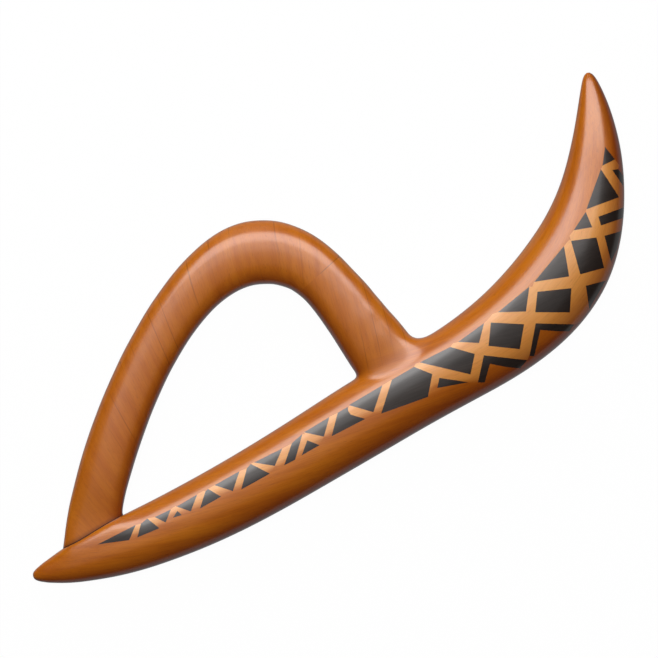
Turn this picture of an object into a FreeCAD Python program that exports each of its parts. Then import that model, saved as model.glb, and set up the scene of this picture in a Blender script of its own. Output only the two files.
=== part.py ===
import FreeCAD, Part
import math
import os

# Boomerang: a horn-shaped main blade with a second limb, an arched bow, whose
# foot is glued to the blade's upper edge near the tail tip and whose shoulder
# flares into the middle of the blade.  The head carries a flush timber inlay:
# dark tiles with pale strips between them, let 1.2 mm into the blade.
#
# Layout frame (millimetres): X along the chord from the tail tip to the head
# tip, +Y towards the arch, +Z up.  The object lies on its flat underside at
# z = 0.  PLAN_CENTRE moves the plan's bounding-box centre to the origin.

# ---------------------------------------------------------------- dimensions
PLAN_CENTRE = (229.33, -15.12)     # layout point that becomes x = 0, y = 0

BLADE_EQUATOR = 7.8               # height of the widest line of the blade
BLADE_TIP_EQUATOR = 4.6           # the same at both tips
BLADE_CROWN = 0.62                # crown height above it, as a share of half-width
ARCH_EQUATOR = 6.8
BELLY = 1.25                      # belly depth as a share of the equator height
BELLY_RUN = 6.0                   # half-width over which the belly fills out

INLAY_DEPTH = 1.2
INLAY_SKIRT = 3.0                 # how far an edge tile reaches below the equator

SCARF_Y = 19.0                    # scarf between the bow and the shoulder block

SCARF_DOWEL = (3.0, 24.0)         # radius, length
FOOT_DOWEL = (3.0, 26.0)
SHOULDER_DOWEL = (4.0, 36.0)
DOWEL_SLACK = 0.05                # glue gap round a dowel
DOWEL_END = 0.6                   # glue room beyond each end

# distance along the blade, centre-line x, y, half-width
BLADE = [
    (0.08, 0.07, 0.0, 0.8),
    (0.3, 0.33, -0.15, 1.48), (1, 0.94, -0.48, 2.5), (2, 1.82, -0.94, 3.28),
    (3, 2.71, -1.40, 3.91), (4.5, 4.04, -2.08, 4.65), (6, 5.38, -2.75, 5.34),
    (8, 7.17, -3.63, 6.2), (11, 9.87, -4.92, 7.25), (15, 13.49, -6.6, 8.6),
    (20, 18.04, -8.63, 10.15), (26, 23.54, -11.02, 11.7), (34, 30.91, -14.13, 13.4),
    (44, 40.14, -17.98, 15.2), (56, 51.27, -22.5, 16.9), (70, 64.33, -27.54, 18.24),
    (86, 79.41, -32.88, 19.3), (104, 96.56, -38.35, 20.3), (124, 115.81, -43.77, 21.1),
    (146, 137.16, -48.98, 21.7), (168, 158.67, -53.59, 22.15), (190, 180.26, -57.82, 22.6),
    (212, 201.89, -61.9, 23.15), (232, 221.54, -65.69, 23.5), (252, 241.12, -69.72, 23.6),
    (272, 260.63, -74.09, 23.7), (292, 280.14, -78.34, 24.2), (312, 299.81, -81.77, 25.4),
    (332, 319.76, -83.68, 26.7), (350, 337.86, -83.59, 27.6), (368, 355.71, -81.37, 27.7),
    (386, 372.95, -76.65, 26.7), (404, 389.27, -69.27, 24.4), (422, 404.5, -59.62, 21.4),
    (438, 417.02, -49.54, 18.6), (452, 427.13, -39.82, 16.1), (466, 436.44, -29.42, 13.2),
    (478, 443.86, -20.02, 10.4), (488, 449.66, -11.89, 7.7), (492.45, 452.14, -8.19, 6.33),
    (495, 453.54, -6.05, 5.47), (496.45, 454.32, -4.83, 4.95), (497.95, 455.13, -3.56, 4.35),
    (499.45, 455.93, -2.29, 3.65), (500.45, 456.46, -1.44, 3.05), (501.45, 456.98, -0.58, 2.2),
    (502.15, 457.35, 0.02, 1.3), (502.4, 457.48, 0.24, 0.8),
]

# arched bow and shoulder: centre-line x, y, outer and inner half-width, crown
ARCH = [
    (34.5, -13.0, 16.2, 16.2, 6.2), (40.3, -8.1, 16.2, 16.2, 6.4), (45.4, -3.7, 16.2, 16.2, 6.6),
    (50.7, 0.6, 16.2, 16.2, 7.0), (56.1, 4.7, 16.2, 16.2, 7.7),
    (61.6, 8.7, 16.0, 16.0, 8.6), (67.2, 12.6, 15.9, 15.9, 9.4),
    (78.6, 19.9, 15.95, 15.95, 10.4), (90.3, 26.8, 15.9, 15.9, 10.9),
    (102.3, 33.3, 15.8, 15.8, 11.1), (114.4, 39.4, 15.65, 15.65, 11.1),
    (126.8, 45.0, 15.55, 15.55, 11.1), (139.4, 50.2, 15.5, 15.5, 11.1),
    (152.2, 54.6, 15.5, 15.5, 11.1), (165.2, 58.5, 15.7, 15.7, 11.2),
    (178.5, 61.4, 16.0, 16.0, 11.4), (191.9, 63.3, 16.6, 16.6, 11.7),
    (205.5, 63.5, 17.5, 17.5, 12.1), (218.9, 61.6, 18.7, 18.7, 12.5),
    (231.5, 56.4, 19.5, 19.5, 12.8), (236.9, 52.3, 19.5, 19.5, 12.8),
    (241.7, 47.5, 19.3, 19.3, 12.7), (245.6, 41.9, 18.8, 18.8, 12.5),
    (248.7, 35.9, 18.3, 18.3, 12.3), (251.0, 29.5, 17.7, 17.7, 12.2),
    (252.4, 22.8, 17.3, 17.3, 12.1), (253.2, 16.1, 17.1, 17.1, 12.1),
    (253.4, 9.3, 17.1, 17.1, 12.1), (253.3, 2.5, 17.4, 17.4, 12.2),
    (253.0, -4.3, 17.8, 17.8, 12.3), (252.4, -11.1, 18.1, 18.1, 12.4),
    (251.8, -17.8, 18.5, 18.5, 12.5), (251.1, -24.6, 19.0, 19.0, 12.6),
    (250.5, -31.4, 19.6, 19.6, 12.6), (250.0, -36.4, 19.9, 20.1, 12.6),
    (249.7, -39.4, 20.2, 21.0, 12.5), (249.5, -41.4, 20.4, 22.8, 12.4),
    (249.2, -44.4, 20.9, 24.0, 12.2), (249.0, -47.0, 21.7, 24.4, 12.0),
    (248.8, -49.4, 23.0, 24.6, 11.7), (248.6, -51.4, 24.8, 24.8, 11.4),
    (248.4, -53.2, 27.2, 25.0, 11.0), (248.2, -55.0, 29.6, 25.0, 10.6),
    (247.8, -58.4, 31.0, 25.0, 9.8),
]

# plan outline of the recess that holds the whole inlay
FIELD = [
    (354.37, -108.47), (360.81, -106.9), (379.86, -100.79), (381.89, -101.72), (390.28, -96.56), (389.66, -96.33),
    (389.84, -94.6), (398.01, -91.22), (407.15, -84.85), (409.41, -85.91), (415.86, -81.06), (414, -80.03),
    (418.52, -75.4), (420.29, -76.18), (425.29, -70.67), (424.36, -70.32), (426.58, -65.25), (430.83, -61.28),
    (431.12, -55.61), (433.26, -54.43), (434.16, -40.18), (425.16, -47.65), (422.95, -48.54), (399.92, -60.68),
    (398.5, -61.61), (385.54, -64.92), (381.43, -65.64), (380.01, -68.56), (379.87, -67.36), (374.76, -68),
    (346.71, -71.96), (343.88, -73.27), (342.66, -72.07), (318.07, -70.86), (315.02, -69.49), (312.54, -69.88),
    (307.45, -70.12), (288.13, -68), (285.17, -66.55), (282.51, -67.03), (262.51, -61.57), (260.17, -60.43),
    (258.18, -61.26), (243.07, -58.02), (243.12, -57.98), (213.24, -51.89), (213.66, -52.57), (213.5, -52.71),
    (213.13, -52.37), (211.46, -52.96), (212, -52.16), (205.24, -50.8), (205.28, -50.76), (199.64, -49.27),
    (181.89, -45.78), (181.67, -47.2), (180.68, -45.84), (172, -45.79), (165.62, -44.2), (147.05, -38.97),
    (145.07, -38.25), (141.96, -38.7), (137.02, -36.96), (115.62, -32.13), (113.6, -32.1), (112.55, -31.07),
    (94.27, -27.26), (94.22, -27.35), (94.02, -27.25), (94.27, -26.53), (90.54, -26.19), (80.11, -23.07),
    (76.06, -20.64), (71.13, -20.45), (68.33, -18.81), (42.91, -11.98), (59.25, -23.01), (63.93, -25.12),
    (77.78, -30.01), (82.87, -29.93), (88.13, -30.76), (93.18, -33.19), (98.72, -35.25), (104.02, -37.67),
    (118.43, -40.93), (125.97, -43.24), (130.38, -45.92), (149.77, -50.5), (155.1, -48.99), (159.42, -52.58),
    (166.81, -54.5), (171.43, -55.23), (183.73, -57.91), (189.16, -55.83), (192.68, -58.85), (214.94, -64.72),
    (221.4, -65.05), (224.22, -68.84), (252.12, -80.39), (259.92, -80.22), (276.35, -90.34), (277.21, -93.67),
    (280.52, -94.37), (283.55, -97.12), (293.56, -90.8), (298.98, -98.26), (305.29, -105.38), (311.81, -104.46),
    (314.57, -103.5), (316.66, -105.56), (329.97, -96.06), (336.99, -103.57), (342.55, -108.79), (347.81, -107.71),
    (351.83, -109.45),
]

# plan outlines of the dark tiles, tail first
DARK_TILES = [
    [(59.25, -23.01), (68.33, -18.81), (42.91, -11.98)],
    [(77.78, -30.01), (76.06, -20.64), (71.13, -20.45), (63.93, -25.12)],
    [(82.87, -29.93), (90.54, -26.19), (80.11, -23.07)],
    [(93.18, -33.19), (92.91, -29.49), (88.13, -30.76)],
    [(98.72, -35.25), (108.49, -30.19), (94.27, -27.26)],
    [(118.43, -40.93), (115.62, -32.13), (113.59, -32.1), (104.02, -37.67)],
    [(125.97, -43.24), (137.02, -36.96), (120.08, -33.12)],
    [(149.77, -50.5), (145.07, -38.25), (141.47, -38.77), (130.38, -45.92)],
    [(155.1, -48.99), (165.62, -44.2), (147.05, -38.97)],
    [(166.81, -54.5), (180.68, -45.84), (172, -45.79), (159.42, -52.58)],
    [(183.73, -57.91), (180.19, -50.74), (171.43, -55.23)],
    [(189.16, -55.83), (199.64, -49.27), (181.89, -45.78)],
    [(214.94, -64.72), (210.24, -56.83), (210.55, -54.31), (212, -52.16), (205.11, -50.77), (192.68, -58.85)],
    [(221.4, -65.05), (236.44, -56.63), (213.24, -51.89)],
    [(252.12, -80.39), (263.36, -71.89), (258.18, -61.26), (242.95, -57.99), (224.22, -68.84)],
    [(280.45, -87.64), (290.67, -80.1), (282.51, -67.03), (262.51, -61.57)],
    [(259.92, -80.22), (276.35, -90.34), (265.05, -76.47)],
    [(297.08, -76.94), (307.45, -70.12), (288.13, -68)],
    [(300.14, -82.1), (312.88, -96.37), (324.9, -86.85), (310.73, -72.6)],
    [(283.55, -97.12), (293.56, -90.8), (298.98, -98.26), (305.29, -105.38), (311.81, -104.46), (294.2, -84.46), (280.52, -94.37)],
    [(330.96, -81.89), (342.66, -72.07), (318.07, -70.86)],
    [(334.83, -85.97), (350.43, -100.28), (360.89, -89.92), (344.14, -77.7)],
    [(316.66, -105.56), (329.97, -96.06), (336.99, -103.57), (342.55, -108.79), (347.81, -107.71), (330.51, -91.19), (314.57, -103.5)],
    [(364.6, -83.74), (374.76, -68), (346.71, -71.96)],
    [(370.53, -87.38), (384.12, -94.27), (392.93, -77.39), (380.01, -68.56)],
    [(360.81, -106.9), (370.55, -103.79), (379.86, -100.79), (368.47, -94.82)],
    [(395.17, -71.1), (398.5, -61.61), (385.54, -64.92)],
    [(389.84, -94.6), (398.01, -91.22), (407.15, -84.85), (397.28, -79.94)],
    [(399.88, -73.9), (414, -80.03), (418.52, -75.4), (402.32, -68.94)],
    [(399.92, -60.68), (419.92, -68.68), (422.95, -48.54)],
    [(425.16, -47.65), (433.52, -49.97), (434.16, -40.18)],
    [(426.58, -65.25), (430.83, -61.28), (431.12, -55.61), (427.86, -53.57)],
]

# plan outlines of the pale strips: (node, solids)
PALE_STRIPS = [
    ("pale_strips_tail_steep", [[(71.13, -20.45), (68.33, -18.81), (59.25, -23.01), (63.93, -25.12)],
        [(92.91, -29.49), (92.93, -29.78), (93.18, -29.73), (94.27, -26.53), (90.54, -26.19), (82.87, -29.93), (88.13, -30.76)],
        [(113.6, -32.1), (112.55, -31.07), (108.49, -30.19), (98.72, -35.25), (104.02, -37.67)],
        [(141.47, -38.77), (141.77, -38.63), (137.02, -36.96), (125.97, -43.24), (130.38, -45.92)],
        [(172, -45.79), (165.62, -44.2), (155.1, -48.99), (159.42, -52.58)],
        [(180.19, -50.74), (180.24, -50.84), (182.07, -47.75), (180.68, -45.84), (166.81, -54.5), (171.43, -55.23)],
        [(205.11, -50.77), (205.23, -50.8), (205.28, -50.76), (199.64, -49.27), (189.16, -55.83), (192.68, -58.85)],
        [(242.95, -57.99), (243.06, -58.02), (243.12, -57.98), (236.44, -56.63), (221.4, -65.05), (224.22, -68.84)]]),
    ("pale_strips_tail_shallow", [[(82.87, -29.93), (80.11, -23.07), (76.06, -20.64), (77.78, -30.01)],
        [(94.27, -27.26), (93.71, -28.17), (93.18, -29.73), (92.93, -29.78), (93.18, -33.19), (98.72, -35.25)],
        [(120.08, -33.12), (115.62, -32.13), (118.43, -40.93), (125.97, -43.24)],
        [(155.1, -48.99), (147.05, -38.97), (145.07, -38.25), (149.77, -50.5)],
        [(189.16, -55.83), (181.89, -45.78), (181.67, -47.21), (182.07, -47.75), (180.24, -50.84), (183.73, -57.91)],
        [(214.05, -53.2), (213.13, -52.37), (211.46, -52.96), (210.55, -54.31), (210.24, -56.83), (214.94, -64.72), (221.4, -65.05)]]),
    ("pale_band_01", [[(280.45, -87.64), (262.51, -61.57), (260.17, -60.43), (258.18, -61.26), (263.36, -71.89), (265.05, -76.47), (276.35, -90.34)]]),
    ("pale_band_02", [[(314.57, -103.5), (312.88, -96.37), (300.14, -82.1), (297.08, -76.94), (288.13, -68), (285.17, -66.55), (282.51, -67.03), (290.67, -80.1), (294.2, -84.46), (311.81, -104.46)]]),
    ("pale_band_03", [[(350.43, -100.28), (334.83, -85.97), (330.96, -81.89), (318.07, -70.86), (315.02, -69.49), (312.54, -69.88), (310.73, -72.6), (324.9, -86.85), (330.51, -91.19), (347.81, -107.71), (351.83, -109.45)]]),
    ("pale_band_04", [[(390.28, -96.56), (384.12, -94.27), (370.53, -87.38), (364.6, -83.74), (346.71, -71.96), (343.88, -73.27), (344.14, -77.7), (360.89, -89.92), (368.47, -94.82), (379.86, -100.79), (381.89, -101.72)]]),
    ("pale_band_05", [[(415.86, -81.06), (414, -80.03), (399.88, -73.9), (395.17, -71.1), (385.54, -64.92), (381.43, -65.64), (380.01, -68.56), (392.93, -77.39), (397.28, -79.94), (407.15, -84.85), (409.41, -85.91)]]),
    ("pale_band_06", [[(425.29, -70.67), (419.92, -68.68), (399.92, -60.68), (398.5, -61.61), (402.32, -68.94), (418.52, -75.4), (420.29, -76.18)]]),
    ("pale_cross_01", [[(259.92, -80.22), (265.05, -76.47), (263.36, -71.89), (252.12, -80.39)]]),
    ("pale_cross_02", [[(310.73, -72.6), (312.54, -69.88), (307.45, -70.12), (297.08, -76.94), (300.14, -82.1)],
        [(294.2, -84.46), (290.67, -80.1), (280.45, -87.64), (276.35, -90.34), (277.21, -93.67), (280.52, -94.37)]]),
    ("pale_cross_03", [[(344.14, -77.7), (343.88, -73.27), (342.66, -72.07), (330.96, -81.89), (334.83, -85.97)],
        [(330.51, -91.19), (324.9, -86.85), (312.88, -96.37), (314.57, -103.5)]]),
    ("pale_cross_04", [[(380.01, -68.56), (379.87, -67.36), (374.76, -68), (364.6, -83.74), (370.53, -87.38)],
        [(354.37, -108.47), (360.81, -106.9), (368.47, -94.82), (360.89, -89.92), (350.43, -100.28), (351.83, -109.45)]]),
    ("pale_cross_05", [[(402.32, -68.94), (398.5, -61.61), (395.17, -71.1), (399.88, -73.9)],
        [(389.84, -94.6), (397.28, -79.94), (392.93, -77.39), (384.12, -94.27), (389.66, -96.33)]]),
    ("pale_cross_06", [[(426.58, -65.25), (427.86, -53.57), (431.12, -55.61), (433.26, -54.43), (433.52, -49.97), (425.16, -47.65), (422.95, -48.54), (419.92, -68.68), (424.36, -70.32)]]),
]


# ------------------------------------------------------------------ geometry
def crown_of(hw):
    return hw * (BLADE_CROWN + 0.20 * math.exp(-hw / 8.0))


def blade_equator(s, length):
    run = min(s, length - s)
    return BLADE_TIP_EQUATOR + (BLADE_EQUATOR - BLADE_TIP_EQUATOR) * (1.0 - math.exp(-run / 40.0))


def belly_of(hw, equator):
    return BELLY * equator * (1.0 - math.exp(-hw / BELLY_RUN))


def tangents(points):
    """Unit directions of a smooth line through the points."""
    out = []
    n = len(points)
    for i in range(n):
        if i == 0:
            a, b = points[0], points[1]
            d = (b[0] - a[0], b[1] - a[1])
        elif i == n - 1:
            a, b = points[-2], points[-1]
            d = (b[0] - a[0], b[1] - a[1])
        else:
            a, p, b = points[i - 1], points[i], points[i + 1]
            h0 = math.hypot(p[0] - a[0], p[1] - a[1])
            h1 = math.hypot(b[0] - p[0], b[1] - p[1])
            d = ((p[0] - a[0]) / h0 * h1 + (b[0] - p[0]) / h1 * h0,
                 (p[1] - a[1]) / h0 * h1 + (b[1] - p[1]) / h1 * h0)
        m = math.hypot(d[0], d[1])
        out.append((d[0] / m, d[1] / m))
    return out


def section(cx, cy, direction, outer, inner, equator, crown, belly, count=20):
    """Closed section across the limb: half-ellipses above and below its equator."""
    nx, ny = -direction[1], direction[0]
    pts = []
    for i in range(count):
        a = 2.0 * math.pi * i / count
        c, s = math.cos(a), math.sin(a)
        u = c * (outer if c > 0 else inner)
        z = equator + s * (crown if s > 0 else belly)
        pts.append(FreeCAD.Vector(cx + nx * u, cy + ny * u, z))
    curve = Part.BSplineCurve()
    curve.interpolate(Points=pts, PeriodicFlag=True,
                      Parameters=[float(k) / count for k in range(count + 1)])
    return Part.Wire([curve.toShape()])


def biggest(shape):
    return max(shape.Solids, key=lambda s: s.Volume)


FLOOR_BOX = Part.makeBox(700, 500, 100, FreeCAD.Vector(-100, -250, 0))


def blade_solid(inset=0.0, first=0, last=None):
    rows = BLADE[first:last]
    dirs = tangents([(r[1], r[2]) for r in BLADE])[first:last]
    length = BLADE[-1][0]
    wires = []
    for (s, x, y, hw), d in zip(rows, dirs):
        eq = blade_equator(s, length)
        wires.append(section(x, y, d, hw - inset, hw - inset, eq,
                             crown_of(hw) - inset, belly_of(hw, eq) - inset))
    return Part.makeLoft(wires, True, False)


def arch_solid(first, last):
    rows = ARCH[first:last]
    dirs = tangents([(r[0], r[1]) for r in ARCH])[first:last]
    wires = []
    for (x, y, ho, hi, crown), d in zip(rows, dirs):
        wires.append(section(x, y, d, ho, hi, ARCH_EQUATOR, crown,
                             belly_of(0.5 * (ho + hi), ARCH_EQUATOR)))
    return Part.makeLoft(wires, True, False).common(FLOOR_BOX)


def rod(centre, direction, radius, length):
    m = math.hypot(direction[0], direction[1])
    d = FreeCAD.Vector(direction[0] / m, direction[1] / m, 0)
    c = FreeCAD.Vector(*centre)
    return Part.makeCylinder(radius, length, c - d * (length / 2.0), d)


def prism(outline, low, high):
    pts = [FreeCAD.Vector(x, y, low) for x, y in outline]
    face = Part.Face(Part.makePolygon(pts + [pts[0]]))
    return face.extrude(FreeCAD.Vector(0, 0, high - low))


# ------------------------------------------------------------------ the limbs
blade_raw = blade_solid().common(FLOOR_BOX)
blade_core = blade_solid(INLAY_DEPTH, 9, 38)
skin = blade_raw.cut(blade_core)

arch_raw = arch_solid(0, 29)
shoulder_raw = arch_solid(22, len(ARCH))
above_scarf = Part.makeBox(120, 300, 80, FreeCAD.Vector(195, SCARF_Y, -5))
left_side = Part.makeBox(235, 400, 80, FreeCAD.Vector(-40, -200, -5))
bow = biggest(arch_raw.common(above_scarf.fuse(left_side)).cut(blade_raw))
below_scarf = Part.makeBox(160, 200, 80, FreeCAD.Vector(180, SCARF_Y - 200, -5))
shoulder = biggest(shoulder_raw.common(below_scarf).cut(blade_raw))

# ------------------------------------------------------------------ the dowels
dowel_sets = {
    "scarf_dowels": [((245.5, SCARF_Y, 8.2), (0, 1), SCARF_DOWEL),
                     ((259.5, SCARF_Y, 8.2), (0, 1), SCARF_DOWEL)],
    "foot_dowels": [((40.6, 0.3, 7.2), (0.8, 0.6), FOOT_DOWEL),
                    ((51.0, -6.2, 7.2), (0.8, 0.6), FOOT_DOWEL)],
    "shoulder_dowels": [((240.5, -47.0, 8.6), (0, 1), SHOULDER_DOWEL),
                        ((257.5, -50.0, 8.6), (0, 1), SHOULDER_DOWEL)],
}
dowels, holes = {}, []
for name, items in dowel_sets.items():
    solids = []
    for centre, direction, (radius, length) in items:
        pin = rod(centre, direction, radius, length)
        solids.append(pin.makeChamfer(0.5, [e for e in pin.Edges if e.Curve.TypeId == "Part::GeomCircle"]))
        holes.append(rod(centre, direction, radius + DOWEL_SLACK, length + 2 * DOWEL_END))
    dowels[name] = Part.makeCompound([s for d in solids for s in d.Solids])

all_holes = holes[0]
for h in holes[1:]:
    all_holes = all_holes.fuse(h)
bow = bow.cut(all_holes)
shoulder = shoulder.cut(all_holes)

# ------------------------------------------------------------------- the inlay
low = BLADE_EQUATOR - INLAY_SKIRT
recess = skin.common(prism(FIELD, low, 60))
inlays = {}
for i, outline in enumerate(DARK_TILES):
    inlays["dark_inlay_%02d" % (i + 1)] = biggest(recess.common(prism(outline, low, 60)))
for name, outlines in PALE_STRIPS:
    parts = []
    for outline in outlines:
        parts.append(biggest(recess.common(prism(outline, low, 60))))
    inlays[name] = Part.makeCompound(parts)

blade = biggest(blade_raw.cut(all_holes).cut(recess))

# ------------------------------------------------------------------- the files
nodes = {"main_blade": blade, "arch_bow": bow, "shoulder_block": shoulder}
nodes.update(dowels)
nodes.update(inlays)

os.makedirs("parts", exist_ok=True)
shift = FreeCAD.Vector(-PLAN_CENTRE[0], -PLAN_CENTRE[1], 0)
for name, shape in nodes.items():
    solids = [s for s in shape.Solids if s.Volume > 0.5]
    out = solids[0] if len(solids) == 1 else Part.makeCompound(solids)
    out = out.copy()
    out.translate(shift)
    out.exportStep("parts/%s.step" % name)
    print("%-26s solids %d  volume %9.1f  valid %s" % (name, len(solids), out.Volume, out.isValid()))
box = FreeCAD.BoundBox()
for name, shape in nodes.items():
    box.add(shape.BoundBox)
print("layout box x %.2f..%.2f  y %.2f..%.2f  z %.2f..%.2f" % (
    box.XMin, box.XMax, box.YMin, box.YMax, box.ZMin, box.ZMax))
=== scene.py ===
import bpy
import math
import numpy as np
from mathutils import Vector, Matrix
from mathutils.bvhtree import BVHTree
from mathutils.geometry import delaunay_2d_cdt


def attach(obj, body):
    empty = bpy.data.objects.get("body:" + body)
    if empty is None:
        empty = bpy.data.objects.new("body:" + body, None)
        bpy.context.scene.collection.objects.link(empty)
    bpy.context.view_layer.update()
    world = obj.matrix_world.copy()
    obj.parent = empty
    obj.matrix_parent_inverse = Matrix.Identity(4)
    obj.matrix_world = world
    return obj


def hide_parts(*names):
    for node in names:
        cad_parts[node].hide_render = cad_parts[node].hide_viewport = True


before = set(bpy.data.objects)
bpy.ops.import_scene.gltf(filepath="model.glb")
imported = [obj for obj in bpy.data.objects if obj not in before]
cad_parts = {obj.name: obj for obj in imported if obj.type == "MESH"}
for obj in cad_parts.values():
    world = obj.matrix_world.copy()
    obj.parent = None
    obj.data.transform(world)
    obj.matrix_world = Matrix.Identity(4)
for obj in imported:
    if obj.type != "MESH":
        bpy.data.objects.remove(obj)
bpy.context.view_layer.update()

# ------------------------------------------------------------------ dimensions
# Layout millimetres, the same layout as the CAD model; PLAN_CENTRE is x = y = 0.
PLAN_CENTRE = np.array([229.33, -15.12])
BLADE_EQUATOR, BLADE_TIP_EQUATOR, BLADE_CROWN = 7.8, 4.6, 0.62
ARCH_EQUATOR = 6.8
ARCH_FULL = 0.70                # under 1 flattens the bow's crown
BELLY, BELLY_RUN = 1.25, 6.0
INLAY_DEPTH = 1.2
SCARF_Y = 19.0

# distance along the blade, centre-line x, y, half-width
BLADE = np.array([
    (0.08, 0.07, 0.0, 0.8),
    (0.3, 0.33, -0.15, 1.48), (1, 0.94, -0.48, 2.5), (2, 1.82, -0.94, 3.28),
    (3, 2.71, -1.40, 3.91), (4.5, 4.04, -2.08, 4.65), (6, 5.38, -2.75, 5.34),
    (8, 7.17, -3.63, 6.2), (11, 9.87, -4.92, 7.25), (15, 13.49, -6.6, 8.6),
    (20, 18.04, -8.63, 10.15), (26, 23.54, -11.02, 11.7), (34, 30.91, -14.13, 13.4),
    (44, 40.14, -17.98, 15.2), (56, 51.27, -22.5, 16.9), (70, 64.33, -27.54, 18.24),
    (86, 79.41, -32.88, 19.3), (104, 96.56, -38.35, 20.3), (124, 115.81, -43.77, 21.1),
    (146, 137.16, -48.98, 21.7), (168, 158.67, -53.59, 22.15), (190, 180.26, -57.82, 22.6),
    (212, 201.89, -61.9, 23.15), (232, 221.54, -65.69, 23.5), (252, 241.12, -69.72, 23.6),
    (272, 260.63, -74.09, 23.7), (292, 280.14, -78.34, 24.2), (312, 299.81, -81.77, 25.4),
    (332, 319.76, -83.68, 26.7), (350, 337.86, -83.59, 27.6), (368, 355.71, -81.37, 27.7),
    (386, 372.95, -76.65, 26.7), (404, 389.27, -69.27, 24.4), (422, 404.5, -59.62, 21.4),
    (438, 417.02, -49.54, 18.6), (452, 427.13, -39.82, 16.1), (466, 436.44, -29.42, 13.2),
    (478, 443.86, -20.02, 10.4), (488, 449.66, -11.89, 7.7), (492.45, 452.14, -8.19, 6.33),
    (495, 453.54, -6.05, 5.47), (496.45, 454.32, -4.83, 4.95), (497.95, 455.13, -3.56, 4.35),
    (499.45, 455.93, -2.29, 3.65), (500.45, 456.46, -1.44, 3.05), (501.45, 456.98, -0.58, 2.2),
    (502.15, 457.35, 0.02, 1.3), (502.4, 457.48, 0.24, 0.8),
])
# bow and shoulder: centre-line x, y, half-width, crown
ARCH = np.array([
    (34.5, -13, 16.2, 6.2), (40.3, -8.1, 16.2, 6.4), (45.4, -3.7, 16.2, 6.6), (50.7, 0.6, 16.2, 7),
    (56.1, 4.7, 16.2, 7.7), (61.6, 8.7, 16, 8.6), (67.2, 12.6, 15.9, 9.4), (78.6, 19.9, 15.95, 10.4),
    (90.3, 26.8, 15.9, 10.9), (102.3, 33.3, 15.8, 11.1), (114.4, 39.4, 15.65, 11.1), (126.8, 45, 15.55, 11.1),
    (139.4, 50.2, 15.5, 11.1), (152.2, 54.6, 15.5, 11.1), (165.2, 58.5, 15.7, 11.2), (178.5, 61.4, 16, 11.4),
    (191.9, 63.3, 16.6, 11.7), (205.5, 63.5, 17.5, 12.1), (218.9, 61.6, 18.7, 12.5), (231.5, 56.4, 19.5, 12.8),
    (236.9, 52.3, 19.5, 12.8), (241.7, 47.5, 19.3, 12.7), (245.6, 41.9, 18.8, 12.5), (248.7, 35.9, 18.3, 12.3),
    (251, 29.5, 17.7, 12.2), (252.4, 22.8, 17.3, 12.1), (253.2, 16.1, 17.1, 12.1), (253.4, 9.3, 17.1, 12.1),
    (253.3, 2.5, 17.4, 12.2), (253, -4.3, 17.8, 12.3), (252.4, -11.1, 18.1, 12.4), (251.8, -17.8, 18.5, 12.5),
    (251.1, -24.6, 19, 12.3), (250.5, -31.4, 19.6, 12.1), (249.8, -38.1, 20, 11.9), (249.1, -44.9, 20.2, 11.8),
    (248.4, -51.6, 20.4, 11.8), (247.8, -58.4, 20.5, 11.7),
])
DARK_TILES = [
    [(59.25, -23.01), (68.33, -18.81), (42.91, -11.98)],
    [(77.78, -30.01), (76.06, -20.64), (71.13, -20.45), (63.93, -25.12)],
    [(82.87, -29.93), (90.54, -26.19), (80.11, -23.07)],
    [(93.18, -33.19), (92.91, -29.49), (88.13, -30.76)],
    [(98.72, -35.25), (108.49, -30.19), (94.27, -27.26)],
    [(118.43, -40.93), (115.62, -32.13), (113.59, -32.1), (104.02, -37.67)],
    [(125.97, -43.24), (137.02, -36.96), (120.08, -33.12)],
    [(149.77, -50.5), (145.07, -38.25), (141.47, -38.77), (130.38, -45.92)],
    [(155.1, -48.99), (165.62, -44.2), (147.05, -38.97)],
    [(166.81, -54.5), (180.68, -45.84), (172, -45.79), (159.42, -52.58)],
    [(183.73, -57.91), (180.19, -50.74), (171.43, -55.23)],
    [(189.16, -55.83), (199.64, -49.27), (181.89, -45.78)],
    [(214.94, -64.72), (210.24, -56.83), (210.55, -54.31), (212, -52.16), (205.11, -50.77), (192.68, -58.85)],
    [(221.4, -65.05), (236.44, -56.63), (213.24, -51.89)],
    [(252.12, -80.39), (263.36, -71.89), (258.18, -61.26), (242.95, -57.99), (224.22, -68.84)],
    [(280.45, -87.64), (290.67, -80.1), (282.51, -67.03), (262.51, -61.57)],
    [(259.92, -80.22), (276.35, -90.34), (265.05, -76.47)],
    [(297.08, -76.94), (307.45, -70.12), (288.13, -68)],
    [(300.14, -82.1), (312.88, -96.37), (324.9, -86.85), (310.73, -72.6)],
    [(283.55, -97.12), (293.56, -90.8), (298.98, -98.26), (305.29, -105.38), (311.81, -104.46), (294.2, -84.46), (280.52, -94.37)],
    [(330.96, -81.89), (342.66, -72.07), (318.07, -70.86)],
    [(334.83, -85.97), (350.43, -100.28), (360.89, -89.92), (344.14, -77.7)],
    [(316.66, -105.56), (329.97, -96.06), (336.99, -103.57), (342.55, -108.79), (347.81, -107.71), (330.51, -91.19), (314.57, -103.5)],
    [(364.6, -83.74), (374.76, -68), (346.71, -71.96)],
    [(370.53, -87.38), (384.12, -94.27), (392.93, -77.39), (380.01, -68.56)],
    [(360.81, -106.9), (370.55, -103.79), (379.86, -100.79), (368.47, -94.82)],
    [(395.17, -71.1), (398.5, -61.61), (385.54, -64.92)],
    [(389.84, -94.6), (398.01, -91.22), (407.15, -84.85), (397.28, -79.94)],
    [(399.88, -73.9), (414, -80.03), (418.52, -75.4), (402.32, -68.94)],
    [(399.92, -60.68), (419.92, -68.68), (422.95, -48.54)],
    [(425.16, -47.65), (433.52, -49.97), (434.16, -40.18)],
    [(426.58, -65.25), (430.83, -61.28), (431.12, -55.61), (427.86, -53.57)],
]
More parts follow.
